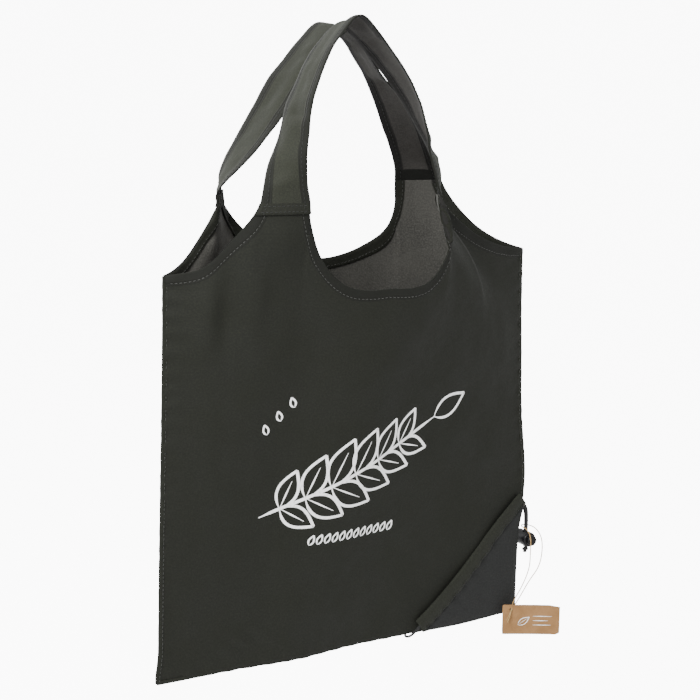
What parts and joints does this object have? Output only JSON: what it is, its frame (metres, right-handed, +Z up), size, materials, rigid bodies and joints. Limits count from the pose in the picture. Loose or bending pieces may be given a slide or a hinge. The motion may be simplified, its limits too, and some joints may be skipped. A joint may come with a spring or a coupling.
{
  "type": "foldable tote bag",
  "caption": "Limp vest-style shopping tote hanging by two loop handles, with a corner stuff pouch, drawcord, sprung cord lock and swing tag.",
  "frame": {"origin": "the crest of the two handles, midway between them, where a hook or a hand holds the bag", "axes": "+X along the bag's width towards the corner pouch, -Y out of the printed front, +Z up"},
  "size_m": [0.4259, 0.1394, 0.6162],
  "materials": {
    "cloth": "matte",
    "pouch_cloth": "matte",
    "cord": "matte",
    "lock_plastic": "gloss",
    "spring_steel": "satin",
    "twine": "matte",
    "kraft_card": "matte",
    "print_white": "matte",
    "thread": "matte"
  },
  "bodies": {
    "bag": {"front_panel": "cloth", "back_panel": "cloth", "front_pouch": "pouch_cloth", "back_pouch": "pouch_cloth", "drawcord": "cord", "drawcord_knot": "cord"},
    "front_handle": {"front_handle": "cloth"},
    "back_handle": {"back_handle": "cloth"},
    "cord_lock": {"cord_lock_body": "lock_plastic", "cord_lock_spring": "spring_steel"},
    "lock_button": {"cord_lock_button": "lock_plastic"},
    "tag": {"tag_twine": "twine", "swing_tag": "kraft_card"}
  },
  "joints": [
    {"name": "front_handle_fold", "type": "hinge", "parent": "bag", "child": "front_handle", "pos_m": [0.02, -0.057, -0.1592], "axis": [1, 0, 0], "range_deg": [0, 150]},
    {"name": "back_handle_fold", "type": "hinge", "parent": "bag", "child": "back_handle", "pos_m": [0.02, 0.057, -0.1592], "axis": [-1, 0, 0], "range_deg": [0, 150]},
    {"name": "cord_lock_slide", "type": "slide", "parent": "bag", "child": "cord_lock", "axis": [0, 0, 1], "range_m": [0, 0.01]},
    {"name": "lock_button_press", "type": "slide", "parent": "cord_lock", "child": "lock_button", "axis": [0, 1, 0], "range_m": [0, 0.004], "stiffness_N_per_m": 400, "deforming": ["cord_lock_spring"]},
    {"name": "tag_swing", "type": "hinge", "parent": "cord_lock", "child": "tag", "pos_m": [0.232, 0, -0.511], "axis": [0, 1, 0], "range_deg": [-25, 25]}
  ]
}
